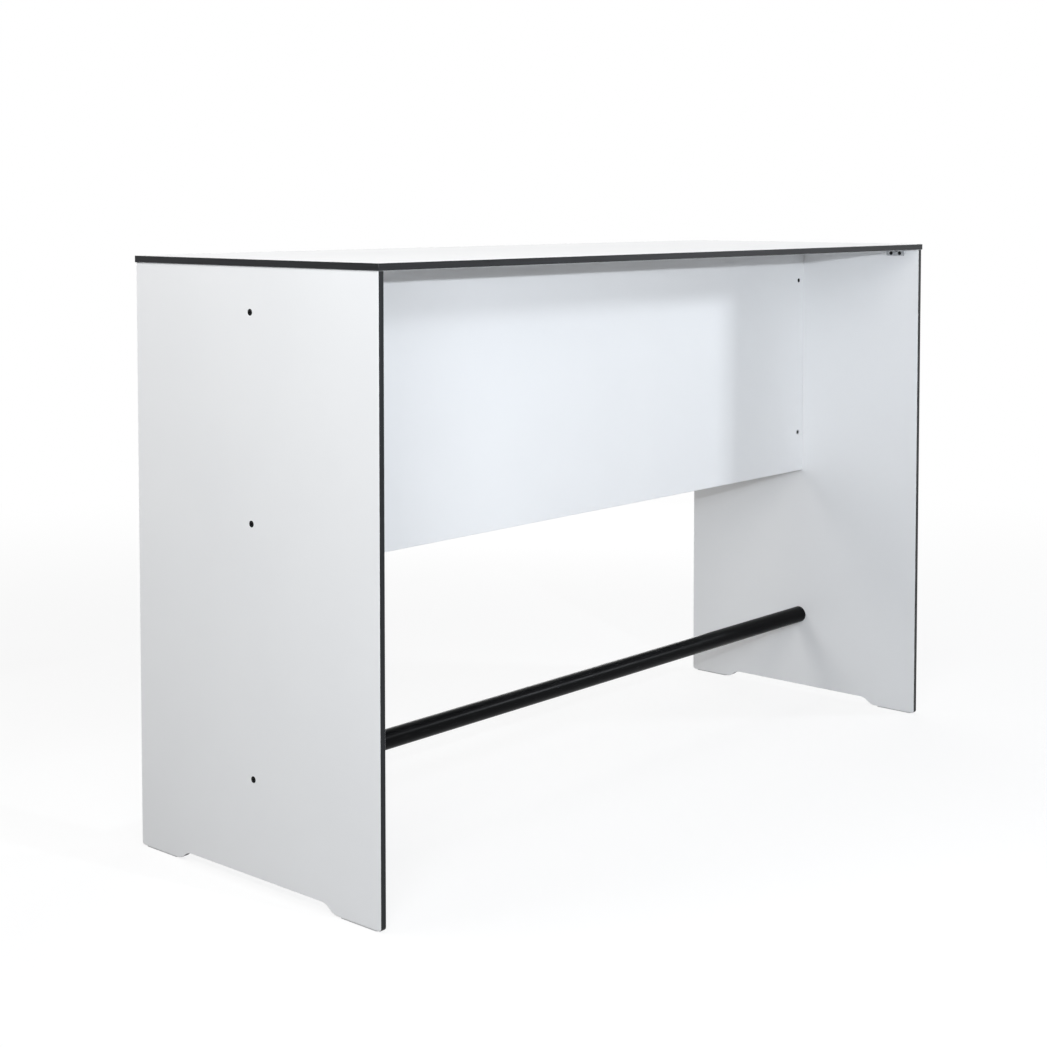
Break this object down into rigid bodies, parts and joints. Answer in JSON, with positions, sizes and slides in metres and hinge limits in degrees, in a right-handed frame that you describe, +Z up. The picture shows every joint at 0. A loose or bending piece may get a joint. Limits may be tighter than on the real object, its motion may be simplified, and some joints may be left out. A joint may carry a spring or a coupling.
{
  "type": "bar table",
  "caption": "Bar-height table of compact laminate: a slab top on full-depth slab sides with notched feet, a modesty panel at mid depth under the top and a round foot rail.",
  "frame": {"origin": "centre of the footprint, on the floor", "axes": "+X along the table's length, +Y across its depth towards the rear, +Z up; the front faces -Y"},
  "size_m": [1.75, 0.64, 1.1],
  "materials": {
    "white_laminate": "satin white decor on both faces, black core at the edges",
    "black_core": "machined core of the laminate, shown at every edge",
    "black_steel": "black powder coat or black oxide",
    "zinc_steel": "zinc plated",
    "brass": "machined",
    "grey_plastic": "moulded, pale grey"
  },
  "bodies": {
    "root": {"table_top": "white_laminate", "side_panel_left": "white_laminate", "side_panel_right": "white_laminate", "modesty_panel": "white_laminate", "foot_rail": "black_steel", "rail_plug_left": "zinc_steel", "rail_plug_right": "zinc_steel", "rail_screw_left": "black_steel", "rail_screw_right": "black_steel", "panel_screws_left": "black_steel", "panel_screws_right": "black_steel", "barrel_nuts_left": "black_steel", "barrel_nuts_right": "black_steel", "bracket_front_left": "zinc_steel", "bracket_front_right": "zinc_steel", "bracket_rear_left": "zinc_steel", "bracket_rear_right": "zinc_steel", "bracket_panel_left": "zinc_steel", "bracket_panel_middle": "zinc_steel", "bracket_panel_right": "zinc_steel", "bracket_screws_front_left": "black_steel", "bracket_screws_front_right": "black_steel", "bracket_screws_rear_left": "black_steel", "bracket_screws_rear_right": "black_steel", "bracket_screws_panel_left": "black_steel", "bracket_screws_panel_middle": "black_steel", "bracket_screws_panel_right": "black_steel", "inserts_top": "brass", "inserts_side_left": "brass", "inserts_side_right": "brass", "inserts_panel": "brass", "glide_front_left": "grey_plastic", "glide_front_right": "grey_plastic", "glide_rear_left": "grey_plastic", "glide_rear_right": "grey_plastic"}
  },
  "joints": []
}
